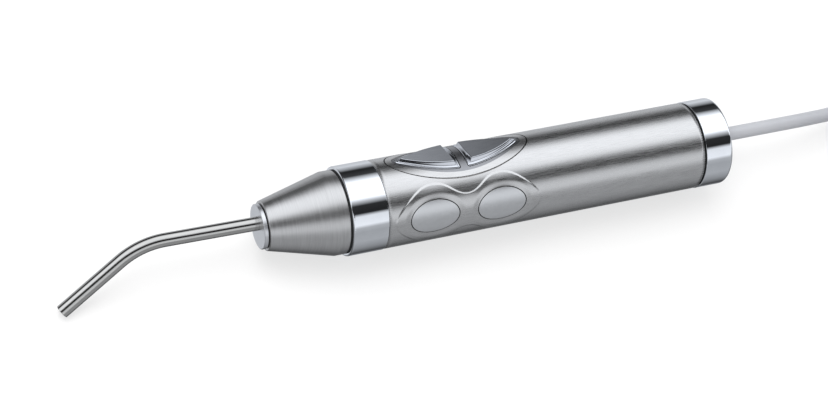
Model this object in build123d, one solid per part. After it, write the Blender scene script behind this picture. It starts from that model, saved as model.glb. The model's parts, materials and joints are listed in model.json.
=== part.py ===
from build123d import *
import os
from math import acos, cos, degrees, radians, sin, sqrt, tan

# An intraoral camera: a round handpiece with a bent steel probe in front and a cord behind.
# Every piece is drawn about the handpiece's own axis, with the probe towards -X, the cord
# towards +X and the two buttons on +Z. The last step rolls the handpiece onto its probe tip
# and sets it down on the table. Lengths are in millimetres.

# Handpiece, outside sizes
body_r = 12.0
body_length = 93.2
body_wall = 1.4
chrome_proud = 0.1
ring_length = 9.95
ring_edge_round = 0.5
cap_length = 8.2
cap_edge_round = 1.0
cap_rear_wall = 2.0
spigot_length = 6.0
seam_width = 0.45
seam_depth = 0.8
ring_gap = 0.1
edge_round = 0.15
seam_round = 0.2
fit = 0.04
over = 1.0

# Nose
cone_length = 20.6
cone_front_lip = 0.6
cone_step = 0.7
cone_band = 2.8
cone_edge_round = 0.4
cone_front_wall = 7.1
cone_shoulder = 0.8
hub_r = 6.05
hub_lip = 1.05
hub_flange = 1.0
hub_edge_round = 0.25
hub_gap = 0.35
hub_seal_inset = 0.25
hub_nut_thick = 2.0
hub_nut_wall = 1.5
hub_nut_gap = 0.5

# Probe
probe_offset = 1.07
probe_rise = 0.77
probe_bend = 36.8
probe_near_leg = 31.8
probe_far_leg = 26.5
probe_bend_r = 20.0
tube_r = 1.85
tube_wall = 0.25
tip_edge_round = 0.1
window_thick = 0.4
window_inset = 0.05
lens_r = 0.7
lens_thick = 1.4
lens_inset = 0.6
lens_bulge_r = 0.84
barrel_wall = 0.3
barrel_length = 2.8
sensor_gap = 0.02
sensor_thick = 0.7
fibre_r = 0.38
fibre_gap = 0.07
lead_gap = 0.27

# Sleeve and lamp behind the nose
sleeve_front = 2.7
sleeve_rear = 2.8
sleeve_wall = 1.0
sleeve_cover = 1.0
sink_front = 2.2
sink_thick = 3.0
led_size = 3.0
led_thick = 1.0
lead_hole_r = 0.8

# Control panel, a shallow scoop in the top of the body
panel_end_gap = 3.2
panel_half_length = 20.35
panel_flatter = 1.2
panel_dip = 0.43
panel_gap = 0.2
panel_ledge = 0.9
panel_edge_thick = 0.65
panel_depth = 2.0

# Bezel and buttons, which share one lens shape
lens_end_gap = 2.05
lens_side_gap = 2.409
lens_tip_round = 1.2
button_split = 2.2
button_corner = 0.5
button_gap = 0.12
button_skirt = 0.9
button_taper = 38.0
button_face_drop = 0.25
button_face_r = 140.0
button_face_spare = 2.0
button_depth = 3.4
button_travel = 0.6
button_skirt_rise = 0.1
plateau_drop = 1.8
press_gap = 0.2
press_stop = 0.1
bezel_border = 1.0
bezel_flange = 0.6
bezel_drop = 0.12
membrane_thick = 0.3
membrane_gap = 0.2
switch_size = 4.6
switch_gap = 0.2
switch_inset = 0.8
switch_floor = 0.2
plunger_r = 0.9
plunger_play = 0.05
plunger_length = 1.7
boss_r = 0.8
boss_inset = 0.9
boss_side_inset = 2.1
boss_margin = 1.0
switch_board_thick = 0.8
switch_screw_head = 0.6

# Finger rests, one each side of the body
rest_end_gap = 1.9
relief_height = 0.1
relief_waist = 0.2
relief_end = 1.647
relief_curve = ((-0.912, 1.3), (-0.471, 3.0), (0.0, 3.55), (0.559, 2.8), (1.235, -0.3))
pad_between = 5.6
pad_half_length = 6.8
pad_half_height = 4.7
pad_gap = 0.1
pad_thick = 0.85
dish_border = 1.8
dish_depth = 0.15

# Inner frame and electronics
frame_wall = 1.0
frame_top_z = -3.0
frame_ledge = 1.5
board_thick = 1.2
board_side_gap = 0.86
board_front_gap = 2.2
board_rear_gap = 9.15
board_screw_r = 0.6
board_screw_head_r = 1.2
board_screw_head = 0.9
board_screw_length = 4.0
board_screw_gap = 0.1
board_screw_spare = 0.3
board_boss_r = 1.4
screw_front_inset = 9.0
screw_rear_inset = 7.0
screw_side_inset = 2.7
connector_length = 5.0
connector_gap = 1.0
connector_height = 3.4
cord_plug_in_length = 8.0
cord_plug_in_height = 4.0
wire_r = 0.35
wire_pitch = 1.1
ribbon_side = 1.2
ribbon_width = 3.0
ribbon_thick = 0.2
ribbon_start = 12.0
ribbon_reach = 4.0

# Each chip: its middle from the board's front edge, or from its rear edge if negative, then
# its middle across the board, its length, its width and its height
chips = {
    "image_processor": (27.0, 0.0, 10.0, 10.0, 1.3),
    "memory_chip": (40.0, 0.0, 8.0, 9.0, 1.0),
    "power_chip": (-25.0, -2.0, 5.0, 5.0, 1.0),
    "usb_chip": (-15.0, -3.0, 6.0, 6.0, 1.0),
    "inductor": (-12.0, 3.5, 4.0, 4.0, 2.0),
}

# Cord and its plug
cord_r = 2.0
gland_r = 3.2
gland_proud = 2.0
gland_flange = 1.2
gland_lip = 1.2
gland_edge_round = 0.6
hank_straight = 72.0
hank_bend_r = 12.0
hank_columns = 2
hank_layers = 5
tie_thick = 0.6
tie_width = 8.0
tie_play = 0.05
tie_place = 22.0
boot_length = 10.0
boot_mouth = 0.4
boot_r = 3.0
plug_length = 20.0
plug_width = 15.4
plug_height = 8.0
plug_round = 2.0
usb_width = 12.0
usb_height = 4.5
usb_length = 12.0
usb_wall = 0.3
tongue_thick = 1.6
tongue_setback = 0.6
tongue_side_gap = 0.05

# Worked out along the axis, from the front edge of the chrome ring's seam
chrome_r = body_r + chrome_proud
body_bore = body_r - body_wall
ring_x0 = seam_width
ring_x1 = ring_x0 + ring_length
body_x0 = ring_x1 + ring_gap
body_x1 = body_x0 + body_length
cap_x0 = body_x1 + seam_width
cap_x1 = cap_x0 + cap_length
spigot_r = body_bore - fit
spigot_bore = body_bore - fit - sleeve_wall
cone_front_r = hub_r + cone_front_lip
cone_rear_r = body_r - cone_step
sleeve_seat_r = cone_rear_r - sleeve_cover
sleeve_bore = sleeve_seat_r - sleeve_wall
sleeve_x1 = body_x0 + sleeve_rear
hub_x1 = -cone_length - hub_gap
hub_x0 = hub_x1 - hub_flange
hub_neck_r = hub_r - hub_lip
hub_nut_r = hub_neck_r + hub_nut_wall
nut_x0 = -cone_length + cone_front_wall
neck_x1 = nut_x0 + hub_nut_thick
panel_x = body_x0 + panel_end_gap + panel_half_length
pad_x = pad_between / 2 + pad_half_length
rest_x = ring_x1 + rest_end_gap + pad_x + relief_end * pad_half_length
tube_bore = tube_r - tube_wall
fibre_offset = tube_bore - fibre_r - fibre_gap
sensor_width = 2 * (fibre_offset - fibre_r - sensor_gap)
lead_r = fibre_offset - fibre_r - lead_gap
frame_r = sleeve_bore - fit
frame_x0 = sink_thick - sink_front
frame_x1 = cap_x0
board_top = frame_top_z + board_thick
board_half_width = sqrt(frame_r ** 2 - frame_top_z ** 2) - board_side_gap
board_front = frame_x0 + board_front_gap
board_rear = frame_x1 - board_rear_gap
screw_x = (board_front + screw_front_inset, board_rear - screw_rear_inset)
screw_y = board_half_width - screw_side_inset

# Heights of the buttons and of what they press
button_face_z = body_r - button_face_drop
plateau_base_z = body_r - plateau_drop
button_base_z = body_r - button_depth
bezel_base_z = button_base_z - button_travel - press_gap
switch_top_z = bezel_base_z - membrane_thick - switch_gap
plunger_base_z = button_base_z - plunger_length
switch_floor_z = plunger_base_z - button_travel - press_stop
switch_board_top = switch_floor_z - switch_floor

# The scoop's cross circle meets the body's circle at the panel's edge
panel_cross_r = body_r + panel_flatter
scoop_z = body_r - panel_dip
scoop_centre_z = scoop_z - panel_cross_r
scoop_r = panel_half_length ** 2 / (2 * panel_dip)
panel_edge_z = (body_r ** 2 + scoop_centre_z ** 2 - panel_cross_r ** 2) / (2 * scoop_centre_z)
panel_half_width = sqrt(body_r ** 2 - panel_edge_z ** 2)
lens_half_length = panel_half_length - lens_end_gap
lens_half_width = panel_half_width - lens_side_gap
boss_side = lens_half_width - boss_side_inset


def rod(radius, x0, x1):
    """A cylinder on the handpiece's axis."""
    return Pos((x0 + x1) / 2, 0, 0) * Rot(0, 90, 0) * Cylinder(radius, x1 - x0)


def pipe(outer, inner, x0, x1):
    return rod(outer, x0, x1) - rod(inner, x0 - over, x1 + over)


def block(x, y, z):
    """A box from its two limits along each axis."""
    centre = [(low + high) / 2 for low, high in (x, y, z)]
    size = [high - low for low, high in (x, y, z)]
    return Pos(*centre) * Box(*size)


def turned(*profile):
    """A turned piece from (x, radius) corners."""
    return revolve(make_face(Polyline(*[(x, 0, r) for x, r in profile], close=True)), Axis.X)


def rounded_rim(piece, x, radius, size):
    """Round the circular edge of that radius at x."""
    rim = [e for e in piece.edges().filter_by(GeomType.CIRCLE)
           if abs(e.radius - radius) < 0.01 and abs(e.center().X - x) < 0.01]
    return fillet(rim, size)


def upright(sketch, z0, z1):
    """A prism of a plan-view sketch, between two heights."""
    return Pos(0, 0, z0) * extrude(sketch, z1 - z0)


def sideways(sketch, side, inner, outer):
    """The part of a ring about the axis that a side-view sketch covers, on one side."""
    prism = extrude(Plane.XZ * sketch, 2 * body_r, dir=(0, side, 0))
    box = prism.bounding_box()
    return prism & pipe(outer, inner, box.min.X - over, box.max.X + over)


def below_scoop(drop=0.0):
    """A solid whose upper side is the scoop's surface, lowered by drop."""
    ring = Torus(scoop_r + panel_cross_r, panel_cross_r - drop)
    return Pos(panel_x, 0, scoop_centre_z + scoop_r + panel_cross_r) * Rot(90, 0, 0) * ring


def oval(half_length, half_width):
    return Ellipse(half_length, half_width)


def lens(grow=0.0):
    """The plan outline around both buttons, rounded at its two tips."""
    upper = ThreePointArc((-lens_half_length, 0), (0, lens_half_width), (lens_half_length, 0))
    lower = ThreePointArc((lens_half_length, 0), (0, -lens_half_width), (-lens_half_length, 0))
    shape = make_face(Curve() + [upper, lower])
    shape = fillet(shape.vertices(), lens_tip_round)
    if grow:
        shape = offset(shape, grow)
    return Pos(panel_x, 0) * shape


def half_lens(side, grow=0.0):
    """One button's outline: the lens on one side of the split."""
    reach = 2 * lens_half_length
    near = button_split / 2
    window = Pos(panel_x + side * (near + reach / 2), 0) * Rectangle(reach, reach)
    shape = lens() & window
    corners = [v for v in shape.vertices() if abs(abs(v.X - panel_x) - near) < 0.01]
    shape = fillet(corners, button_corner)
    if grow:
        shape = offset(shape, grow)
    return shape


def probe_points(y=0.0):
    """The probe's centre line: where it leaves the hub, its corner and its tip."""
    rise = radians(probe_rise)
    fall = radians(probe_bend - probe_rise)
    corner_x = hub_x0 - probe_near_leg
    corner = Vector(corner_x, y, probe_offset + probe_near_leg * tan(rise))
    tip = corner + probe_far_leg * Vector(-cos(fall), 0, -sin(fall))
    return corner, tip


def on_probe_line(x, y=0.0):
    """A point at x on the straight leg that passes through the hub."""
    return Vector(x, y, probe_offset - (x - hub_x0) * tan(radians(probe_rise)))


def along_probe(x_rear, tip_inset, section, y=0.0):
    """Sweep a section from x_rear, round the bend, to a point that far inside the tip."""
    corner, tip = probe_points(y)
    start = on_probe_line(x_rear, y)
    end = tip + tip_inset * (corner - tip).normalized()
    path = FilletPolyline(start, corner, end, radius=probe_bend_r)
    return sweep(Plane(start, z_dir=corner - start) * section, path=path)


def at_tip(piece):
    """Move a piece drawn about the tip, with +Z looking out of the probe."""
    corner, tip = probe_points()
    return Plane(tip, x_dir=(0, 1, 0), z_dir=tip - corner).location * piece


def disc(radius, z0, z1):
    return Pos(0, 0, (z0 + z1) / 2) * Cylinder(radius, z1 - z0)


# Probe and its optics
def make_probe():
    tube = along_probe(neck_x1, 0, Circle(tube_r) - Circle(tube_bore))
    rims = tube.edges().filter_by(GeomType.CIRCLE).sort_by(Axis.X)
    outer_rim = [e for e in rims[:2] if abs(e.radius - tube_r) < 0.01]
    tube = fillet(outer_rim, tip_edge_round)
    slide = tube_bore - fit
    barrel_r = lens_r + barrel_wall
    front = -window_inset - window_thick
    back = front - barrel_length
    lens_front = front - lens_inset
    window = disc(slide, front, -window_inset)
    barrel = disc(barrel_r, back, front) - disc(lens_r, back - over, front + over)
    dome = Pos(0, 0, lens_front - lens_bulge_r) * Sphere(lens_bulge_r)
    lens_glass = disc(lens_r - fit, lens_front - lens_thick, lens_front) & dome
    light_ring = disc(slide, back, front) - disc(barrel_r + fit, back - over, front + over)
    sensor = Pos(0, 0, back - sensor_thick / 2) * Box(sensor_width, sensor_width, sensor_thick)
    fibre = along_probe(-sink_front - led_thick, -back, Circle(fibre_r), y=-fibre_offset)
    lead = along_probe(board_front, sensor_thick - back, Circle(lead_r))
    return {
        "probe_tube": tube,
        "tip_window": at_tip(window),
        "lens_barrel": at_tip(barrel),
        "objective_lens": at_tip(lens_glass),
        "light_ring": at_tip(light_ring),
        "image_sensor": at_tip(sensor),
        "light_fibre": fibre,
        "sensor_lead": lead,
    }


# Hub, cone and the parts that hold them to the body
def make_nose():
    bore = along_probe(neck_x1 + over, 0, Circle(tube_r + fit))
    hub = rod(hub_r, hub_x0, hub_x1) + rod(hub_neck_r, hub_x1, neck_x1)
    hub = rounded_rim(hub, hub_x0, hub_r, hub_edge_round) - bore
    hub_seal = pipe(hub_r - hub_seal_inset, hub_neck_r + fit, hub_x1, -cone_length)
    inner_front = hub_nut_r + hub_nut_gap
    inner_rear = sleeve_seat_r - cone_shoulder
    nut_plan = Plane.YZ * RegularPolygon(hub_nut_r, 6)
    nut = Pos(nut_x0, 0, 0) * extrude(nut_plan, hub_nut_thick) - rod(hub_neck_r + fit, nut_x0 - over, 0)
    cone = turned((-cone_length, 0), (-cone_length, cone_front_r), (-cone_band, cone_rear_r),
                  (0, cone_rear_r), (0, sleeve_seat_r + fit), (-sleeve_front, sleeve_seat_r + fit),
                  (-sleeve_front, inner_rear), (nut_x0, inner_front), (nut_x0, 0))
    cone = cone - rod(hub_neck_r + fit, -cone_length - over, 0)
    cone = rounded_rim(cone, -cone_length, cone_front_r, cone_edge_round)
    cone = rounded_rim(cone, 0, cone_rear_r, seam_round)
    front_seal = pipe(chrome_r - seam_depth, sleeve_seat_r + fit, 0, seam_width)
    ring = pipe(chrome_r, sleeve_seat_r + fit, ring_x0, ring_x1)
    ring = rounded_rim(ring, ring_x0, chrome_r, ring_edge_round)
    ring = rounded_rim(ring, ring_x1, chrome_r, edge_round)
    sleeve = turned((-sleeve_front, sleeve_bore), (-sleeve_front, sleeve_seat_r),
                    (ring_x1, sleeve_seat_r), (ring_x1, spigot_r), (sleeve_x1, spigot_r),
                    (sleeve_x1, sleeve_bore))
    return {
        "probe_hub": hub,
        "hub_seal": hub_seal,
        "hub_nut": nut,
        "nose_cone": cone,
        "front_seal": front_seal,
        "front_ring": ring,
        "front_sleeve": sleeve,
    }


def make_lamp():
    hole = on_probe_line(0)
    sink = rod(sleeve_bore - fit, -sink_front, frame_x0)
    sink -= Pos(0, 0, hole.Z) * rod(lead_hole_r, -2 * sink_front, 2 * sink_thick)
    led_z = on_probe_line(-sink_front).Z
    half = led_size / 2
    led = block((-sink_front - led_thick, -sink_front),
                (-lead_hole_r - led_size, -lead_hole_r), (led_z - half, led_z + half))
    return {"heat_sink": sink, "lamp_led": led}


# Finger rests
def peanut():
    """The outline of the raised rest, drawn round its pads from one quarter of it."""
    waist = pad_half_height + relief_waist
    quarter = [(pad_x + share * pad_half_length, pad_half_height + margin) for share, margin in relief_curve]
    end = pad_x + relief_end * pad_half_length
    right = [(0, waist)] + quarter + [(end, 0)] + [(x, -z) for x, z in reversed(quarter)]
    left = [(0, -waist)] + [(-x, -z) for x, z in quarter] + [(-end, 0)]
    left += [(-x, z) for x, z in reversed(quarter)]
    return Pos(rest_x, 0) * make_face(Spline(*right, *left, periodic=True))


def pad_places():
    return {"front": rest_x - pad_x, "rear": rest_x + pad_x}


def make_body():
    relief_r = body_r + relief_height
    pad_top_r = relief_r - dish_depth
    shell = pipe(body_r, body_bore, body_x0, body_x1)
    shell = rounded_rim(shell, body_x0, body_r, edge_round)
    shell = rounded_rim(shell, body_x1, body_r, edge_round)
    pads = {}
    for side_name, side in (("near", -1), ("far", 1)):
        shell += sideways(peanut(), side, body_r - body_wall / 2, relief_r)
        for end_name, x in pad_places().items():
            dish = oval(pad_half_length + dish_border, pad_half_height + dish_border)
            pocket = oval(pad_half_length + pad_gap, pad_half_height + pad_gap)
            face = oval(pad_half_length, pad_half_height)
            shell -= sideways(Pos(x, 0) * dish, side, pad_top_r, relief_r + over)
            shell -= sideways(Pos(x, 0) * pocket, side, pad_top_r - pad_thick, relief_r + over)
            name = f"finger_pad_{side_name}_{end_name}"
            pads[name] = sideways(Pos(x, 0) * face, side, pad_top_r - pad_thick + fit, pad_top_r)
    rabbet = upright(Pos(panel_x, 0) * oval(panel_half_length, panel_half_width), 0, 2 * body_r)
    seat_r = body_r - panel_edge_thick
    shell -= rabbet - rod(seat_r, body_x0, body_x1)
    through = oval(panel_half_length - panel_ledge, panel_half_width - panel_ledge)
    shell -= upright(Pos(panel_x, 0) * through, 0, 2 * body_r)
    return {"body_shell": shell, **pads}


# Control panel, bezel, buttons and the switches below them
def boss_places():
    end = lens_half_length - boss_inset
    return [(panel_x - end, 0), (panel_x + end, 0), (panel_x, boss_side), (panel_x, -boss_side)]


def switch_places():
    reach = (lens_half_length + button_split / 2) / 2 - switch_inset
    return {"front": panel_x - reach, "rear": panel_x + reach}


def make_panel():
    seat_r = body_r - panel_edge_thick
    plate_plan = oval(panel_half_length - panel_gap, panel_half_width - panel_gap)
    plug_plan = oval(panel_half_length - panel_ledge - panel_gap, panel_half_width - panel_ledge - panel_gap)
    plate = upright(Pos(panel_x, 0) * plate_plan, 0, 2 * body_r) - rod(seat_r + fit, body_x0, body_x1)
    plug = upright(Pos(panel_x, 0) * plug_plan, 0, 2 * body_r)
    plug -= rod(body_r - panel_depth, body_x0, body_x1)
    panel = (plate + plug) & below_scoop()
    panel -= upright(lens(bezel_border), 0, 2 * body_r)

    bezel = upright(lens(bezel_border - fit), bezel_base_z, 2 * body_r) & below_scoop(bezel_drop)
    flange = upright(lens(bezel_border + bezel_flange), bezel_base_z, 2 * body_r)
    bezel += flange & rod(body_r - panel_depth - fit, body_x0, body_x1)
    for side in (-1, 1):
        bezel -= upright(half_lens(side, button_gap), 0, 2 * body_r)
    for x, y in boss_places():
        bezel += Pos(x, y, 0) * disc(boss_r, switch_board_top, bezel_base_z)

    membrane = upright(lens(bezel_border / 2), bezel_base_z - membrane_thick, bezel_base_z)
    for x, y in boss_places():
        membrane -= Pos(x, y, 0) * disc(boss_r + fit, 0, body_r)
    for x in switch_places().values():
        membrane -= Pos(x, 0, 0) * disc(plunger_r + membrane_gap, 0, body_r)
    return {"control_panel": panel, "button_bezel": bezel, "button_membrane": membrane}


def button(side):
    """A skirt flush with the scoop and a bevelled plateau with a gently hollow polished face."""
    skirt = upright(half_lens(side), button_base_z, 2 * body_r) & below_scoop(-button_skirt_rise)
    rise = button_face_z + button_face_spare - plateau_base_z
    plateau = extrude(half_lens(side, -button_skirt), rise, taper=button_taper)
    plateau = Pos(0, 0, plateau_base_z) * plateau
    hollow = Pos(panel_x, 0, button_face_z + button_face_r) * Rot(90, 0, 0)
    plateau -= hollow * Cylinder(button_face_r, 4 * body_r)
    return skirt + plateau


def make_buttons():
    board_low = switch_board_top - switch_board_thick
    parts = {}
    for (name, x), side in zip(switch_places().items(), (-1, 1)):
        half = switch_size / 2
        housing = block((x - half, x + half), (-half, half), (switch_board_top, switch_top_z))
        housing -= Pos(x, 0, 0) * disc(plunger_r + plunger_play, switch_floor_z, body_r)
        parts[f"{name}_button"] = button(side)
        parts[f"{name}_plunger"] = Pos(x, 0, 0) * disc(plunger_r, plunger_base_z, button_base_z)
        parts[f"{name}_switch"] = housing
    end = lens_half_length - boss_inset + boss_margin
    half_width = boss_side + boss_margin
    board = block((panel_x - end, panel_x + end), (-half_width, half_width), (board_low, switch_board_top))
    screws = []
    for x, y in boss_places():
        hole = Pos(x, y, 0) * disc(boss_r / 2, board_low - over, switch_board_top + over)
        board -= hole
        head = Pos(x, y, 0) * disc(boss_r, board_low - switch_screw_head, board_low)
        shank = Pos(x, y, 0) * disc(boss_r / 2 - fit, board_low, switch_board_top)
        screws.append(head + shank)
    parts["switch_board"] = board
    parts["switch_screws"] = Part() + screws
    return parts


# Inner frame, main board and wiring
def make_frame():
    trough = pipe(frame_r, frame_r - frame_wall, frame_x0, frame_x1)
    trough &= block((frame_x0, frame_x1), (-body_r, body_r), (-body_r, frame_top_z))
    for side in (-1, 1):
        inner, outer = sorted((side * (board_half_width - frame_ledge), side * frame_r))
        ledge = block((frame_x0, frame_x1), (inner, outer), (frame_top_z - frame_wall, frame_top_z))
        trough += ledge & rod(frame_r, frame_x0, frame_x1)
    board = block((board_front, board_rear), (-board_half_width, board_half_width), (frame_top_z, board_top))
    screws = []
    for x in screw_x:
        for y in (-screw_y, screw_y):
            boss = Pos(x, y, 0) * disc(board_boss_r, -body_r, frame_top_z)
            trough += boss & rod(frame_r - frame_wall / 2, frame_x0, frame_x1)
            bottom = board_top - board_screw_length
            trough -= Pos(x, y, 0) * disc(board_screw_r + fit / 2, bottom - board_screw_spare, 0)
            board -= Pos(x, y, 0) * disc(board_screw_r + board_screw_gap, frame_top_z - over, 0)
            head = disc(board_screw_head_r, board_top, board_top + board_screw_head)
            screws.append(Pos(x, y, 0) * (head + disc(board_screw_r, bottom, board_top)))
    return {"inner_frame": trough, "main_board": board, "board_screws": Part() + screws}


def make_electronics():
    parts = {}
    for name, (place_x, y, length, width, height) in chips.items():
        x = place_x + (board_front if place_x > 0 else board_rear)
        parts[name] = block((x - length / 2, x + length / 2), (y - width / 2, y + width / 2),
                            (board_top, board_top + height))
    half = screw_y - board_screw_head_r - connector_gap
    parts["lead_connector"] = block((board_front, board_front + connector_length), (-half, half),
                                    (board_top, board_top + connector_height))
    cord_x0 = board_rear - cord_plug_in_length
    parts["cord_connector"] = block((cord_x0, board_rear), (-half, half),
                                    (board_top, board_top + cord_plug_in_height))
    gland_x0 = cap_x1 - cap_rear_wall - gland_flange
    wires = []
    for y in (-wire_pitch / 2, wire_pitch / 2):
        for z in (-wire_pitch / 2, wire_pitch / 2):
            wires.append(Pos(0, y, z + probe_offset) * rod(wire_r, board_rear, gland_x0))
    parts["cord_wires"] = Part() + wires
    under = switch_board_top - switch_board_thick
    rear = panel_x + lens_half_length + ribbon_reach
    start = rear - ribbon_start
    drop = [(start, under), (rear, under), (rear + ribbon_reach, board_top + ribbon_thick),
            (rear + 2 * ribbon_reach, board_top + ribbon_thick),
            (rear + 2 * ribbon_reach, board_top), (rear + ribbon_reach - ribbon_thick, board_top),
            (rear - ribbon_thick, under - ribbon_thick), (start, under - ribbon_thick)]
    strip = make_face(Polyline(*[(x, 0, z) for x, z in drop], close=True))
    parts["switch_ribbon"] = Pos(0, ribbon_side, 0) * extrude(strip, ribbon_width, dir=(0, 1, 0))
    return parts


def make_rear():
    spigot_x0 = cap_x0 - seam_width - spigot_length
    wall_x0 = cap_x1 - cap_rear_wall
    cap = rod(chrome_r, cap_x0, cap_x1) + rod(spigot_r, spigot_x0, cap_x0)
    cap -= rod(spigot_bore, spigot_x0 - over, wall_x0)
    hole = Pos(0, 0, probe_offset)
    cap -= hole * rod(gland_r + fit, wall_x0 - over, cap_x1 + over)
    cap = rounded_rim(cap, cap_x1, chrome_r, cap_edge_round)
    cap = rounded_rim(cap, cap_x0, chrome_r, seam_round)
    seal = pipe(chrome_r - seam_depth, spigot_r + fit, body_x1, cap_x0)
    gland = rod(gland_r, wall_x0, cap_x1 + gland_proud)
    gland += rod(gland_r + gland_lip, wall_x0 - gland_flange, wall_x0)
    gland = rounded_rim(gland, cap_x1 + gland_proud, gland_r, gland_edge_round)
    return {"rear_cap": cap, "rear_seal": seal, "cord_gland": hole * gland}


# The handpiece rests on its chrome ring and cap and rolls until the probe tip touches too
def resting_roll():
    _, tip = probe_points()
    drop = -tip.Z
    edge = tube_r * sin(radians(probe_bend - probe_rise))
    square = drop ** 2 + edge ** 2
    product = chrome_r * drop
    root = sqrt(product ** 2 - square * (chrome_r ** 2 - tube_r ** 2))
    return degrees(acos((product - root) / square))


def set_down(parts):
    """Roll every piece and put the middle of the handpiece's base at the origin."""
    rolled = {name: Rot(-resting_roll(), 0, 0) * piece for name, piece in parts.items()}
    x_low = min(piece.bounding_box().min.X for piece in rolled.values())
    x_high = max(piece.bounding_box().max.X for piece in rolled.values())
    shift = Pos(-(x_low + x_high) / 2, 0, chrome_r)
    return {name: shift * piece for name, piece in rolled.items()}, shift * Rot(-resting_roll(), 0, 0)


# The cord leaves the cap, comes down to the table and is folded into a flat hank in line with the
# handpiece, held by a tie, with its plug inside the loop. The route's heights are above where it
# lies, and the tail is drawn from the hank's middle.
cord_first_run = 13.0
cord_lift = 0.05
cord_route = [(27.0, 0.4, 8.75), (41.0, 2.0, 3.95), (53.0, 4.2, 0.45), (64.7, 5.3, 0.0)]
tail_route = [(38.0, -12.0, 0.0), (30.0, -11.5, 0.0), (22.5, -7.5, 0.3), (16.5, -2.0, 0.8), (9.5, 0.0, 1.4)]
tail_end = (2.5, 0.0, 1.4)
arc_share = 0.45


def cord_radii(points):
    """Each corner's arc, as large as its two runs allow."""
    radii = []
    for before, corner, after in zip(points, points[1:], points[2:]):
        turn = radians((corner - before).get_angle(after - corner))
        shorter = min((corner - before).length, (after - corner).length)
        radii.append(arc_share * shorter / tan(turn / 2))
    return radii


def cord_run(points):
    path = FilletPolyline(*points, radius=cord_radii(points))
    piece = sweep(Plane(points[0], z_dir=points[1] - points[0]) * Circle(cord_r), path=path)
    print("cord run of", round(path.length, 1), "radii", [round(r) for r in cord_radii(points)],
          "volume", round(piece.volume, 1), "section x length", round(Circle(cord_r).area * path.length, 1))
    return piece


def usb_plug():
    """The plug's pieces, drawn along +X from the end of its boot."""
    grip_x1 = boot_length + plug_length
    boot = Rot(0, 90, 0) * Cone(cord_r + boot_mouth, boot_r, boot_length)
    grip = Pos(boot_length + plug_length / 2, 0, 0) * Box(plug_length, plug_width, plug_height)
    grip = fillet(grip.edges().filter_by(Axis.X), plug_round)
    grip = fillet(grip.faces().sort_by(Axis.X)[0].edges(), plug_round / 2)
    inner_width = usb_width - 2 * usb_wall
    outer = Pos(grip_x1 + usb_length / 2, 0, 0) * Box(usb_length, usb_width, usb_height)
    bore = Box(usb_length + over, inner_width, usb_height - 2 * usb_wall)
    shell = outer - Pos(grip_x1 + usb_length / 2, 0, 0) * bore
    tongue_z = usb_height / 2 - usb_wall - tongue_thick / 2
    tongue_length = usb_length - tongue_setback
    tongue = Box(tongue_length, inner_width - 2 * tongue_side_gap, tongue_thick)
    tongue = Pos(grip_x1 + tongue_length / 2, 0, tongue_z - fit) * tongue
    return {
        "plug_boot": Pos(boot_length / 2, 0, 0) * boot,
        "plug_grip": grip,
        "plug_shell": shell,
        "plug_tongue": tongue,
    }


def make_cord(place):
    leaves = (place * Pos(cap_x1 + gland_proud, 0, probe_offset)).position
    route = [leaves, leaves + Vector(cord_first_run, 0, 0)]
    lying = tie_thick + cord_lift + cord_r
    route += [Vector(leaves.X + x, leaves.Y + y, lying + z) for x, y, z in cord_route]
    outer_bend = hank_bend_r + (hank_columns - 1) * 2 * cord_r
    outside, inside = outer_bend + cord_r, hank_bend_r - cord_r
    middle = Vector(route[-1].X + hank_straight / 2, route[-1].Y - outer_bend, lying - cord_r)
    loop = SlotCenterToCenter(hank_straight, 2 * outside) - SlotCenterToCenter(hank_straight, 2 * inside)
    height = hank_layers * 2 * cord_r
    hank = extrude(loop, height)
    rims = [face.outer_wire().edges() for face in hank.faces().filter_by(Axis.Z)]
    hank = Pos(*middle) * fillet([edge for rim in rims for edge in rim], cord_r)
    hole = RectangleRounded(2 * (outside + tie_play), height + 2 * tie_play, cord_r + tie_play)
    band = offset(hole, tie_thick) - hole
    tie_x = middle.X + tie_place - tie_width / 2
    tie_z = tie_thick + height / 2 + tie_play
    tie = Pos(tie_x, middle.Y, tie_z) * extrude(Plane.YZ * band, tie_width)
    tail = [Vector(middle.X + x, middle.Y + y, lying + z) for x, y, z in tail_route + [tail_end]]
    print("hank middle", middle, "plug from", tail[-1])
    heading = tail[-1] - tail[-2]
    plug_at = Plane(tail[-1], x_dir=heading, z_dir=(0, 0, 1)).location
    parts = {"cord_tube": cord_run(route), "cord_hank": hank, "cord_tie": tie, "cord_tail": cord_run(tail)}
    parts.update({name: plug_at * piece for name, piece in usb_plug().items()})
    return parts


handpiece = {}
for made in (make_probe(), make_nose(), make_lamp(), make_body(), make_panel(), make_buttons(),
             make_frame(), make_electronics(), make_rear()):
    handpiece.update(made)
handpiece, place = set_down(handpiece)

os.makedirs("parts", exist_ok=True)
for name, piece in {**handpiece, **make_cord(place)}.items():
    export_step(piece, f"parts/{name}.step")
print("roll", round(resting_roll(), 3), "axis height", chrome_r)
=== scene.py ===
import json
from math import cos, pi, radians, sin

import bpy
import numpy as np
from mathutils import Matrix, Vector
from mathutils.geometry import delaunay_2d_cdt


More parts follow.
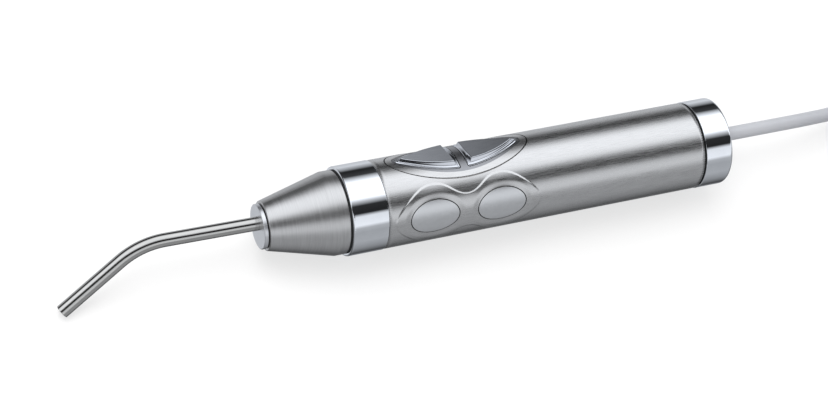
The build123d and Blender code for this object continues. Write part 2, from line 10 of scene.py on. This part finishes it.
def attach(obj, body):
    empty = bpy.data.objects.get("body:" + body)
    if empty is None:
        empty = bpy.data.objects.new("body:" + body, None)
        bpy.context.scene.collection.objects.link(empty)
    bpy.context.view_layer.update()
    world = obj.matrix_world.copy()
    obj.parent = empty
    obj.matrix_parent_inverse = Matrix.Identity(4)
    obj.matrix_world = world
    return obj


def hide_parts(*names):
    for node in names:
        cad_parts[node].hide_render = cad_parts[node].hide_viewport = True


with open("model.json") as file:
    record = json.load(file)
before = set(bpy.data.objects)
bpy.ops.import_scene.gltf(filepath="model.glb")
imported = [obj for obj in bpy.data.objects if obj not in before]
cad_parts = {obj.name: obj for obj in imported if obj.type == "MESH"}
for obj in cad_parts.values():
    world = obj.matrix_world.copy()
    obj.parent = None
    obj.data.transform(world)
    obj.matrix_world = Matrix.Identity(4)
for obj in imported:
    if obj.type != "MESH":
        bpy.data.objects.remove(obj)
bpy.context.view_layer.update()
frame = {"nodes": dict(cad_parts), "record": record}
nodes = frame["nodes"]
scene = bpy.context.scene
scene.view_settings.view_transform = "Standard"
MM = 0.001


# Camera, fitted to the handpiece's outline in the photograph
CAMERA_RIGHT = Vector((0.925276, -0.271830, 0.264524))
CAMERA_UP = Vector((0.177717, 0.926822, 0.330784))
CAMERA_PLACE = Vector((-212.0415, -168.4084, 591.6038))
PHOTO_WIDTH = 828
FOCAL_PIXELS = 2400
SENSOR = 36.0


def make_camera():
    data = bpy.data.cameras.new("camera")
    data.sensor_width = SENSOR
    data.lens = FOCAL_PIXELS / PHOTO_WIDTH * SENSOR
    data.clip_start = 0.05
    data.clip_end = 20.0
    camera = bpy.data.objects.new("camera", data)
    axes = (CAMERA_RIGHT, CAMERA_UP, CAMERA_RIGHT.cross(CAMERA_UP))
    camera.matrix_world = Matrix(axes).transposed().to_4x4()
    camera.location = CAMERA_PLACE * MM
    scene.collection.objects.link(camera)
    scene.camera = camera


make_camera()


# Materials, each a principled shader with a grain from a noise
NOISE_RANGE = (0.3, 0.7)
METAL_BUMP = 2e-6
PLASTIC_BUMP = 2e-5
PLASTIC_GRAIN = 900
PLASTIC_CLOUDS = 60


def new_material(name):
    material = bpy.data.materials.new(name)
    material.use_nodes = True
    tree = material.node_tree
    return material, tree, tree.nodes["Principled BSDF"]


def node(tree, kind, **settings):
    made = tree.nodes.new(kind)
    for key, value in settings.items():
        setattr(made, key, value)
    return made


def noise(tree, scale, detail):
    """A noise over the object's own coordinates, stretched by a scale along each axis."""
    coords = node(tree, "ShaderNodeTexCoord")
    mapping = node(tree, "ShaderNodeMapping")
    mapping.inputs["Scale"].default_value = scale
    tree.links.new(coords.outputs["Object"], mapping.inputs["Vector"])
    made = node(tree, "ShaderNodeTexNoise")
    made.inputs["Scale"].default_value = 1.0
    made.inputs["Detail"].default_value = detail
    made.inputs["Roughness"].default_value = 0.5
    tree.links.new(mapping.outputs["Vector"], made.inputs["Vector"])
    return made.outputs["Fac"]


def map_range(tree, value, from_range, to_range):
    made = node(tree, "ShaderNodeMapRange")
    for key, number in zip(("From Min", "From Max", "To Min", "To Max"), (*from_range, *to_range)):
        made.inputs[key].default_value = number
    tree.links.new(value, made.inputs["Value"])
    return made.outputs["Result"]


def tint(tree, value, dark, light):
    ramp = node(tree, "ShaderNodeValToRGB")
    for element, position, colour in zip(ramp.color_ramp.elements, NOISE_RANGE, (dark, light)):
        element.position = position
        element.color = (*colour, 1)
    tree.links.new(value, ramp.inputs["Fac"])
    return ramp.outputs["Color"]


def bump(tree, shader, height, strength, distance):
    made = node(tree, "ShaderNodeBump")
    made.inputs["Strength"].default_value = strength
    made.inputs["Distance"].default_value = distance
    tree.links.new(height, made.inputs["Height"])
    tree.links.new(made.outputs["Normal"], shader.inputs["Normal"])


def metal(name, dark, light, rough, grain, strength):
    """A metal with a grain: rough is its lowest and highest roughness, grain the texture's scale."""
    material, tree, shader = new_material(name)
    shader.inputs["Metallic"].default_value = 1.0
    fine = noise(tree, grain, 4.0)
    tree.links.new(tint(tree, fine, dark, light), shader.inputs["Base Color"])
    tree.links.new(map_range(tree, fine, NOISE_RANGE, rough), shader.inputs["Roughness"])
    bump(tree, shader, fine, strength, METAL_BUMP)
    return material


def plastic(name, dark, light, rough, strength=0.1, **sockets):
    material, tree, shader = new_material(name)
    fine = noise(tree, (PLASTIC_GRAIN,) * 3, 3.0)
    broad = noise(tree, (PLASTIC_CLOUDS,) * 3, 2.0)
    tree.links.new(tint(tree, broad, dark, light), shader.inputs["Base Color"])
    tree.links.new(map_range(tree, fine, NOISE_RANGE, rough), shader.inputs["Roughness"])
    for key, value in sockets.items():
        shader.inputs[key].default_value = value
    bump(tree, shader, fine, strength, PLASTIC_BUMP)
    return material


# Each metal: darkest and lightest colour, range of roughness, grain along each axis, the grain's strength
METALS = {
    "satin_steel": ((0.56, 0.55, 0.54), (0.66, 0.65, 0.64), (0.24, 0.33), (260, 5000, 5000), 0.3),
    "turned_steel": ((0.53, 0.52, 0.51), (0.63, 0.62, 0.61), (0.29, 0.38), (5000, 150, 150), 0.3),
    "bright_chrome": ((0.80, 0.81, 0.83), (0.84, 0.85, 0.87), (0.03, 0.05), (300, 300, 300), 0.02),
    "button_chrome": ((0.62, 0.63, 0.66), (0.68, 0.69, 0.72), (0.09, 0.13), (300, 900, 900), 0.02),
    "bezel_grey": ((0.30, 0.30, 0.31), (0.34, 0.34, 0.35), (0.30, 0.36), (2000, 2000, 2000), 0.1),
    "pad_metal": ((0.70, 0.70, 0.70), (0.74, 0.74, 0.74), (0.30, 0.36), (900, 900, 900), 0.1),
    "hub_metal": ((0.74, 0.74, 0.75), (0.78, 0.78, 0.79), (0.34, 0.40), (900, 900, 900), 0.1),
    "probe_steel": ((0.50, 0.49, 0.47), (0.56, 0.54, 0.51), (0.10, 0.16), (200, 2000, 2000), 0.05),
    "inner_steel": ((0.52, 0.52, 0.53), (0.60, 0.60, 0.60), (0.25, 0.35), (800, 800, 800), 0.1),
    "plug_metal": ((0.70, 0.70, 0.70), (0.76, 0.76, 0.76), (0.18, 0.26), (200, 3000, 3000), 0.1),
    "heat_sink_metal": ((0.55, 0.56, 0.58), (0.62, 0.62, 0.64), (0.3, 0.4), (900, 900, 900), 0.1),
}

# Each plastic or rubber: its darkest and lightest colour and its roughness
PLASTICS = {
    "black_seal": ((0.004, 0.004, 0.004), (0.008, 0.008, 0.008), (0.6, 0.7)),
    "grey_rubber": ((0.33, 0.34, 0.36), (0.37, 0.38, 0.40), (0.55, 0.65)),
    "cord_jacket": ((0.42, 0.43, 0.46), (0.46, 0.47, 0.50), (0.42, 0.52)),
    "plug_plastic": ((0.44, 0.46, 0.50), (0.48, 0.50, 0.54), (0.4, 0.5)),
    "white_plastic": ((0.78, 0.78, 0.77), (0.83, 0.83, 0.82), (0.35, 0.45)),
    "black_plastic": ((0.015, 0.015, 0.016), (0.025, 0.025, 0.026), (0.35, 0.45)),
    "board_green": ((0.02, 0.14, 0.06), (0.03, 0.18, 0.08), (0.3, 0.4)),
    "ribbon_amber": ((0.45, 0.24, 0.06), (0.52, 0.28, 0.08), (0.25, 0.35)),
}
MATERIALS = {name: metal(name, *looks) for name, looks in METALS.items()}
MATERIALS |= {name: plastic(name, *looks) for name, looks in PLASTICS.items()}
MATERIALS["clear_glass"] = plastic("clear_glass", (0.93, 0.95, 0.95), (0.97, 0.98, 0.98), (0.0, 0.02), 0.0,
                                   **{"Transmission Weight": 1.0, "IOR": 1.5})
MATERIALS["light_guide"] = plastic("light_guide", (0.80, 0.84, 0.88), (0.90, 0.93, 0.95), (0.15, 0.25),
                                   **{"Transmission Weight": 0.4, "IOR": 1.46})
for entry in frame["record"]["subparts"]:
    mesh = nodes[entry["node"]].data
    mesh.materials.clear()
    mesh.materials.append(MATERIALS[entry["material_slot"]])


# Surfaces of the handpiece, drawn about its own axis in millimetres and then rolled onto the table
ROLL = radians(42.22)
SHIFT = (-19.06, 0.0, 12.1)

# Body tube, with its wall and the round on its two ends
BODY_R = 12.0
BODY_X = (10.62, 103.62)
BODY_WALL = 1.4
END_ROUND = 0.25

# Finger rest: a quarter of its outline from above its middle to its end, then its pads and how it rises
REST_X = 33.1
REST_WAIST = 4.9
REST_END = 20.8
REST_REACH = (24.0, 10.5)
REST_CURVE_POINTS = 240
REST_QUARTER = ((3.4, 6.0), (6.4, 7.7), (9.6, 8.25), (13.4, 7.5), (18.0, 4.4))
PAD_X = 9.6
PAD_HALF = (6.8, 4.7)
PAD_GAP = 0.26
PAD_SINK = 0.05
RELIEF = 0.16
RELIEF_EDGE = 0.28
DISH = 1.8

# Control panel's opening and its hollow surface
PANEL_X = 34.05
PANEL_HALF = (20.48, 8.64)
PANEL_CROSS_R = 13.2
SCOOP_Z = 11.57
SCOOP_R = 481.5

# Buttons: their shared lens outline, then the profile from the outer edge inwards
LENS_HALF = (18.3, 6.1)
LENS_TIP = 0.6
SPLIT = 2.2
CORNER_PASSES = 14
BUTTON_PLAY = 0.06
SKIRT_RISE = 0.1
SKIRT_ROUND = 0.22
RIM = 0.5
GROOVE = 0.35
GROOVE_SLOPE = 0.2
BEVEL_START = 0.8
BEVEL_END = 1.4
FACE_Z = 11.75
FACE_R = 140.0
BUTTON_BASE_Z = BODY_R - 3.4

# How finely the sheets are divided, in millimetres and in steps round the body
OUTLINE_STEP = 0.4
PANEL_STEP = 0.5
REST_STEP = 0.45
LENS_STEP = 0.2
ROUND_STEPS = 120
LONG_STEPS = 60
LONG_RANGE = (12.0, 102.5)
END_OFFSETS = (0.07, 0.2)
EDGE_STEPS = 39
FACE_STEP = 0.9
FACE_REACH = (18.0, 6.0)
LENS_POINTS = 60
SWALLOWED = 0.02
REST_OFFSETS = (-0.4, -0.28, -0.18, -0.08, 0, 0.08, 0.18, 0.28, 0.4)
PAD_OFFSETS = (0.2, 0.4, 0.6, 0.8, 1.0, 1.2, 1.4, 1.6, 1.8)
BUTTON_OFFSETS = (0.06, 0.14, 0.22, 0.4, 0.5, 0.6, 0.7, 0.8, 0.95, 1.1, 1.25, 1.4, 1.55, 1.8)
BUTTON_INNER = 2.0
NORMAL_STEP = 1e-3


def in_world(points):
    """Handpiece millimetres to the frame's metres."""
    x, y, z = points.T
    across = y * cos(ROLL) + z * sin(ROLL)
    height = z * cos(ROLL) - y * sin(ROLL)
    return (np.stack([x, across, height], 1) + SHIFT) * MM


def resampled(loop, step):
    """A closed outline with its points evenly spaced."""
    closed = np.vstack([loop, loop[:1]])
    along = np.concatenate([[0], np.cumsum(np.linalg.norm(np.diff(closed, axis=0), axis=1))])
    places = np.linspace(0, along[-1], max(12, int(along[-1] / step)), endpoint=False)
    return np.stack([np.interp(places, along, closed[:, i]) for i in range(2)], 1)


def inside(points, loop):
    """Which points an outline encloses."""
    x, y = points.T
    found = np.zeros(len(points), bool)
    for (x0, y0), (x1, y1) in zip(loop, np.roll(loop, -1, axis=0)):
        if y0 != y1:
            found ^= ((y0 > y) != (y1 > y)) & (x < (x1 - x0) * (y - y0) / (y1 - y0) + x0)
    return found


def distance(points, loop):
    """How far each point is from an outline, negative inside it."""
    nearest = np.full(len(points), np.inf)
    for a, b in zip(loop, np.roll(loop, -1, axis=0)):
        share = np.clip(((points - a) @ (b - a)) / ((b - a) @ (b - a)), 0, 1)
        nearest = np.minimum(nearest, np.linalg.norm(points - a - share[:, None] * (b - a), axis=1))
    return np.where(inside(points, loop), -nearest, nearest)


def beside(loop, offset):
    """The outline moved outwards by offset, without the points that its corners swallow."""
    step = np.roll(loop, -1, axis=0) - np.roll(loop, 1, axis=0)
    out = np.stack([step[:, 1], -step[:, 0]], 1) / np.linalg.norm(step, axis=1)[:, None]
    wrong = inside(loop + NORMAL_STEP * out, loop)
    out = np.where(wrong[:, None], -out, out)
    moved = loop + offset * out
    return moved[np.abs(np.abs(distance(moved, loop)) - abs(offset)) < SWALLOWED]


def smooth(value):
    value = np.clip(value, 0, 1)
    return value * value * (3 - 2 * value)


def sheet_triangles(flat, loops):
    """Triangles over flat points, inside the first outline and outside the others."""
    edges = []
    first = 0
    for loop in loops:
        edges += [(first + i, first + (i + 1) % len(loop)) for i in range(len(loop))]
        first += len(loop)
    made = delaunay_2d_cdt([Vector(p) for p in flat], edges, [], 0, 1e-6)
    flat = np.array([tuple(v) for v in made[0]])
    triangles = np.array([tuple(f) for f in made[2]])
    centres = flat[triangles].mean(axis=1)
    kept = inside(centres, loops[0])
    for hole in loops[1:]:
        kept &= ~inside(centres, hole)
    return flat, triangles[kept]


def sheet_normals(flat, place):
    """The sheet's normals, from how place moves about each point."""
    along = place(flat + (NORMAL_STEP, 0)) - place(flat - (NORMAL_STEP, 0))
    across = place(flat + (0, NORMAL_STEP)) - place(flat - (0, NORMAL_STEP))
    normals = np.cross(along, across)
    return normals / np.linalg.norm(normals, axis=1)[:, None]


def add_piece(name, corners, faces, material, body, replaced):
    """A mesh piece from handpiece coordinates, which rides on a body and stands for a node."""
    mesh = bpy.data.meshes.new(name)
    mesh.from_pydata(in_world(corners).tolist(), [], faces)
    mesh.materials.append(material)
    piece = bpy.data.objects.new(name, mesh)
    scene.collection.objects.link(piece)
    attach(piece, body)
    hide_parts(replaced)
    return mesh


def surface(name, material, body, replaced, place, loops, extra, lowered):
    """A sheet over flat outlines, put in space by place, with walls down its edges to lowered."""
    flat, triangles = sheet_triangles(np.vstack(loops + extra), loops)
    points = place(flat)
    normals = sheet_normals(flat, place)
    first, second, third = (points[triangles[:, i]] for i in range(3))
    facing = np.cross(second - first, third - first)
    flip = (facing * normals[triangles[:, 0]]).sum(axis=1) < 0
    triangles[flip] = triangles[flip][:, ::-1]
    mesh = add_piece(name, points, triangles.tolist(), material, body, replaced)
    mesh.polygons.foreach_set("use_smooth", [True] * len(mesh.polygons))
    turned = (in_world(normals) - in_world(np.zeros((1, 3)))) / MM
    mesh.normals_split_custom_set_from_vertices(turned.tolist())
    corners, faces = [], []
    for loop in loops:
        top = place(loop)
        n = len(loop)
        base = len(corners)
        corners += top.tolist() + lowered(top).tolist()
        for i in range(n):
            after = (i + 1) % n
            faces.append((base + i, base + after, base + n + after, base + n + i))
    add_piece(name + "_walls", np.array(corners), faces, material, body, replaced)


def ellipse(middle_x, half, step, grow=0.0):
    angles = np.linspace(0, 2 * pi, int(2 * pi * half[0] / step), endpoint=False)
    return np.stack([middle_x + (half[0] + grow) * np.cos(angles), (half[1] + grow) * np.sin(angles)], 1)


def mirrored(quarter, x_sign, z_sign):
    return [(x_sign * x, z_sign * z) for x, z in quarter]


def peanut():
    """The raised rest's outline, seen from the side: a smooth curve through a few points."""
    quarter = list(REST_QUARTER)
    knots = [(0, REST_WAIST)] + quarter + [(REST_END, 0)] + mirrored(quarter[::-1], 1, -1)
    knots += [(0, -REST_WAIST)] + mirrored(quarter, -1, -1)
    knots += [(-REST_END, 0)] + mirrored(quarter[::-1], -1, 1)
    count = len(knots)
    waves = np.fft.fftfreq(count, 1 / count)
    turn = np.linspace(0, 2 * pi, REST_CURVE_POINTS, endpoint=False)
    curve = []
    for values in np.array(knots, float).T:
        sizes = np.fft.fft(values) / count
        curve.append(np.real(sum(size * np.exp(1j * wave * turn) for size, wave in zip(sizes, waves))))
    return resampled(np.stack(curve, 1) + (REST_X, 0), REST_STEP)


def round_body(loop, side):
    """A side-view outline laid round the body, measured along and round it from the top."""
    return np.stack([loop[:, 0], -side * BODY_R * (pi / 2 - np.arcsin(loop[:, 1] / BODY_R))], 1)


def grid(xs, ys):
    return np.array([(x, y) for x in xs for y in ys])


def make_body():
    rest = peanut()
    pads = [ellipse(REST_X + x, PAD_HALF, OUTLINE_STEP, PAD_GAP) for x in (-PAD_X, PAD_X)]
    panel = ellipse(PANEL_X, PANEL_HALF, PANEL_STEP)
    panel_round = np.stack([panel[:, 0], BODY_R * np.arcsin(panel[:, 1] / BODY_R)], 1)
    front, rear = BODY_X
    half_round = pi * BODY_R
    around = np.linspace(-half_round, half_round, ROUND_STEPS + 1)

    def height(side_view):
        rise = RELIEF * smooth(0.5 - distance(side_view, rest) / (2 * RELIEF_EDGE))
        for pad in pads:
            rise = rise - (RELIEF + PAD_SINK) * smooth(1 - distance(side_view, pad) / DISH)
        return rise

    def place(flat):
        angle = flat[:, 1] / BODY_R
        side_view = np.stack([flat[:, 0], BODY_R * np.cos(angle)], 1)
        near = (np.abs(side_view - (REST_X, 0)) < REST_REACH).all(axis=1)
        radius = np.full(len(flat), BODY_R)
        radius[near] += height(side_view[near])
        inset = np.minimum(flat[:, 0] - front, rear - flat[:, 0])
        radius -= END_ROUND * smooth(1 - inset / END_ROUND)
        return np.stack([flat[:, 0], radius * np.sin(angle), radius * np.cos(angle)], 1)

    def inwards(top):
        radius = np.linalg.norm(top[:, 1:], axis=1)
        low = top.copy()
        low[:, 1:] *= ((radius - BODY_WALL) / radius)[:, None]
        return low

    outer = [(front, u) for u in around]
    outer += [(x, half_round) for x in np.linspace(front, rear, EDGE_STEPS + 1)[1:-1]]
    outer += [(rear, u) for u in np.linspace(half_round, -half_round, ROUND_STEPS + 1)]
    outer += [(x, -half_round) for x in np.linspace(rear, front, EDGE_STEPS + 1)[1:-1]]
    loops = [np.array(outer), panel_round]
    ends = [front + offset for offset in END_OFFSETS] + [rear - offset for offset in END_OFFSETS[::-1]]
    extra = [grid(np.linspace(*LONG_RANGE, LONG_STEPS + 1), around[1:-1]), grid(ends, around[1:-1])]
    for side in (-1, 1):
        loops += [round_body(pad, side) for pad in pads]
        extra += [round_body(beside(rest, offset), side) for offset in REST_OFFSETS]
        for pad in pads:
            extra += [round_body(beside(pad, offset), side) for offset in PAD_OFFSETS]
    surface("body_skin", MATERIALS["satin_steel"], "handpiece", "body_shell", place, loops, extra, inwards)


def half_lens(side):
    """One button's outline: the lens on one side of the split, with its corners eased."""
    arc_r = (LENS_HALF[0] ** 2 + LENS_HALF[1] ** 2) / (2 * LENS_HALF[1])
    x = np.linspace(SPLIT / 2, LENS_HALF[0] - LENS_TIP, LENS_POINTS)
    y = np.sqrt(arc_r ** 2 - x ** 2) - arc_r + LENS_HALF[1]
    loop = resampled(np.vstack([np.stack([x, y], 1), np.stack([x, -y], 1)[::-1]]), LENS_STEP)
    for _ in range(CORNER_PASSES):
        loop = (np.roll(loop, 1, axis=0) + 2 * loop + np.roll(loop, -1, axis=0)) / 4
    return resampled(beside(loop, -BUTTON_PLAY), LENS_STEP) * (side, 1) + (PANEL_X, 0)


def scoop(flat):
    """The height of the control panel's hollow surface."""
    x, y = flat.T
    across = np.sqrt(PANEL_CROSS_R ** 2 - y ** 2) - PANEL_CROSS_R
    return SCOOP_Z + (x - PANEL_X) ** 2 / (2 * SCOOP_R) + across


def make_button(name, side):
    outline = half_lens(side)

    def place(flat):
        depth = -distance(flat, outline)
        skirt = scoop(flat) + SKIRT_RISE - SKIRT_ROUND * smooth(1 - depth / SKIRT_ROUND)
        skirt = skirt - GROOVE * smooth((depth - RIM) / GROOVE_SLOPE + 0.5)
        face = FACE_Z + (flat[:, 0] - PANEL_X) ** 2 / (2 * FACE_R)
        share = smooth((depth - BEVEL_START) / (BEVEL_END - BEVEL_START))
        return np.stack([flat[:, 0], flat[:, 1], skirt + (face - skirt) * share], 1)

    def down(top):
        low = top.copy()
        low[:, 2] = BUTTON_BASE_Z
        return low

    reach_x, reach_y = FACE_REACH
    lengthways = np.arange(PANEL_X - reach_x, PANEL_X + reach_x, FACE_STEP)
    face = grid(lengthways, np.arange(-reach_y, reach_y, FACE_STEP))
    extra = [beside(outline, -offset) for offset in BUTTON_OFFSETS]
    extra.append(face[distance(face, outline) < -BUTTON_INNER])
    surface(name + "_cap", MATERIALS["button_chrome"], name.replace("button", "key"), name, place, [outline],
            extra, down)


make_body()
make_button("front_button", -1)
make_button("rear_button", 1)


# Cord: out of the gland, down to the table and into a flat tied hank, with its plug inside the loop
CORD_ROUTE = ((95.29, 0.719, 12.89), (108.29, 0.719, 12.89), (122.29, 1.119, 11.4), (136.29, 2.719, 6.6),
              (148.29, 4.919, 3.1))
CORD_TAIL = [(30.0, -11.5, 0.0), (22.5, -7.5, 0.3), (16.5, -2.0, 0.8), (9.5, 0.0, 1.4), (2.5, 0.0, 1.4)]
CORD_R = 2.0
LYING = 2.65
HANK = Vector((195.99, -9.981, LYING))
HALF_STRAIGHT = 36.0
BENDS = (16.0, 12.0)
LAYERS = 5
LEG_POINTS = 2
BEND_POINTS = 8
WIDEN = 1 / cos(pi / BEND_POINTS / 2)


def half_turn(bend, low):
    """Along the far leg from its left end and round the right end, clockwise from above."""
    points = [(HALF_STRAIGHT * (i / LEG_POINTS - 1), bend, low) for i in range(2 * LEG_POINTS)]
    for i in range(BEND_POINTS + 1):
        angle = pi / 2 - pi * i / BEND_POINTS
        points.append((HALF_STRAIGHT + bend * WIDEN * cos(angle), bend * WIDEN * sin(angle), low))
    return points


def turn_back(first, second, low, high):
    """Back along the near leg, then round the left end to the next bend and height."""
    points = [(HALF_STRAIGHT * (1 - i / LEG_POINTS), -first, low) for i in range(1, 2 * LEG_POINTS)]
    for i in range(BEND_POINTS):
        share = i / BEND_POINTS
        bend = (first + (second - first) * share) * WIDEN
        angle = -pi / 2 - pi * i / BEND_POINTS
        points.append((-HALF_STRAIGHT + bend * cos(angle), bend * sin(angle), low + (high - low) * share))
    return points


def hank_points():
    """The outer column wound from the table up, then the inner one back down."""
    turns = [(BENDS[0], 2 * CORD_R * layer) for layer in range(LAYERS)]
    turns += [(BENDS[1], 2 * CORD_R * layer) for layer in reversed(range(LAYERS))]
    points = []
    for (first, low), (second, high) in zip(turns, turns[1:]):
        points += half_turn(first, low) + turn_back(first, second, low, high)
    return points + half_turn(*turns[-1])


def make_cord():
    points = list(CORD_ROUTE) + [tuple(HANK + Vector(p)) for p in hank_points() + CORD_TAIL]
    curve = bpy.data.curves.new("cord", "CURVE")
    curve.dimensions = "3D"
    curve.bevel_depth = CORD_R * MM
    curve.bevel_resolution = 4
    curve.resolution_u = 4
    curve.use_fill_caps = True
    spline = curve.splines.new("NURBS")
    spline.points.add(len(points) - 1)
    for target, (x, y, z) in zip(spline.points, points):
        target.co = (x * MM, y * MM, z * MM, 1)
    spline.order_u = 3
    spline.use_endpoint_u = True
    piece = bpy.data.objects.new("cord", curve)
    scene.collection.objects.link(piece)
    curve.materials.append(MATERIALS["cord_jacket"])
    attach(piece, "handpiece")
    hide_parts("cord_tube", "cord_hank", "cord_tail")


make_cord()


# Studio. Reflections see bands of brightness round the handpiece, by the direction's angle in degrees:
# 0 at its near side and 90 overhead
STUDIO_BANDS = ((-180, 0.02), (-176, 0.03), (-168, 0.3), (-150, 0.75), (-128, 0.6), (-105, 0.75),
                (-92, 0.25), (-72, 0.06), (-45, 0.3), (-20, 0.45), (8, 0.42), (20, 0.5), (28, 1.0),
                (50, 0.9), (58, 0.02), (78, 0.03), (88, 0.6), (96, 1.4), (140, 1.5), (152, 0.7),
                (162, 0.05), (180, 0.02))
STUDIO_TINT = (0.96, 1.0, 1.06)
SOFT_LIGHT = 0.75
KEY_PLACE = Vector((-0.3, 0.5, 1.2))
KEY_SIZE = 1.0
KEY_ENERGY = 14
FLOOR_HALF = 3.0
FLOOR_COLOUR = (0.93, 0.93, 0.93, 1)
FLOOR_GLOW = 0.6


def calculated(tree, operation, first, second):
    """The result of a sum on a socket and a second socket or number."""
    made = node(tree, "ShaderNodeMath", operation=operation)
    tree.links.new(first, made.inputs[0])
    if isinstance(second, (int, float)):
        made.inputs[1].default_value = second
    else:
        tree.links.new(second, made.inputs[1])
    return made.outputs[0]


def mix(tree, share, first, second):
    made = node(tree, "ShaderNodeMixShader")
    for place, socket in enumerate((share, first, second)):
        tree.links.new(socket, made.inputs[place])
    return made.outputs[0]


def background(tree, strength=1.0):
    made = node(tree, "ShaderNodeBackground")
    made.inputs["Color"].default_value = (1, 1, 1, 1)
    made.inputs["Strength"].default_value = strength
    return made


def studio_bands(tree):
    """The bands' colour, by the direction's angle round the handpiece."""
    coords = node(tree, "ShaderNodeTexCoord")
    parts = node(tree, "ShaderNodeSeparateXYZ")
    tree.links.new(coords.outputs["Generated"], parts.inputs[0])
    near = calculated(tree, "MULTIPLY", parts.outputs["Y"], -1)
    angle = calculated(tree, "ARCTAN2", parts.outputs["Z"], near)
    ramp = node(tree, "ShaderNodeValToRGB")
    tree.links.new(map_range(tree, angle, (-pi, pi), (0, 1)), ramp.inputs["Fac"])
    places = [(degrees_round + 180) / 360 for degrees_round, _ in STUDIO_BANDS]
    elements = ramp.color_ramp.elements
    for place in places[1:-1]:
        elements.new(place)
    for element, place, (_, value) in zip(elements, places, STUDIO_BANDS):
        element.position = place
        element.color = (*(value * part for part in STUDIO_TINT), 1)
    return ramp.outputs["Color"]


def make_world():
    world = bpy.data.worlds.new("studio")
    scene.world = world
    world.use_nodes = True
    tree = world.node_tree
    tree.nodes.clear()
    studio = background(tree)
    tree.links.new(studio_bands(tree), studio.inputs["Color"])
    path = node(tree, "ShaderNodeLightPath")
    lit = mix(tree, path.outputs["Is Glossy Ray"], background(tree, SOFT_LIGHT).outputs[0], studio.outputs[0])
    seen = calculated(tree, "MAXIMUM", path.outputs["Is Camera Ray"], path.outputs["Is Transmission Ray"])
    output = node(tree, "ShaderNodeOutputWorld")
    tree.links.new(mix(tree, seen, lit, background(tree).outputs[0]), output.inputs["Surface"])


def make_key():
    data = bpy.data.lights.new("key", "AREA")
    data.size = KEY_SIZE
    data.energy = KEY_ENERGY
    lamp = bpy.data.objects.new("key", data)
    lamp.location = KEY_PLACE
    lamp.rotation_euler = (-KEY_PLACE).to_track_quat("-Z", "Y").to_euler()
    lamp.visible_glossy = False
    scene.collection.objects.link(lamp)


def floor_material():
    """A matt white, partly a glow that only the camera sees, so that the object's shadow is faint."""
    material, tree, shader = new_material("floor_white")
    shader.inputs["Base Color"].default_value = FLOOR_COLOUR
    shader.inputs["Roughness"].default_value = 0.9
    shader.inputs["Specular IOR Level"].default_value = 0.0
    glow = node(tree, "ShaderNodeEmission")
    path = node(tree, "ShaderNodeLightPath")
    share = calculated(tree, "MULTIPLY", path.outputs["Is Camera Ray"], FLOOR_GLOW)
    mixed = mix(tree, share, shader.outputs[0], glow.outputs[0])
    tree.links.new(mixed, tree.nodes["Material Output"].inputs["Surface"])
    return material


def make_floor():
    mesh = bpy.data.meshes.new("floor")
    corners = [(FLOOR_HALF * x, FLOOR_HALF * y, 0) for x, y in ((-1, -1), (1, -1), (1, 1), (-1, 1))]
    mesh.from_pydata(corners, [], [(0, 1, 2, 3)])
    mesh.materials.append(floor_material())
    floor = bpy.data.objects.new("floor", mesh)
    scene.collection.objects.link(floor)
    floor.visible_glossy = False


make_world()
make_key()
make_floor()
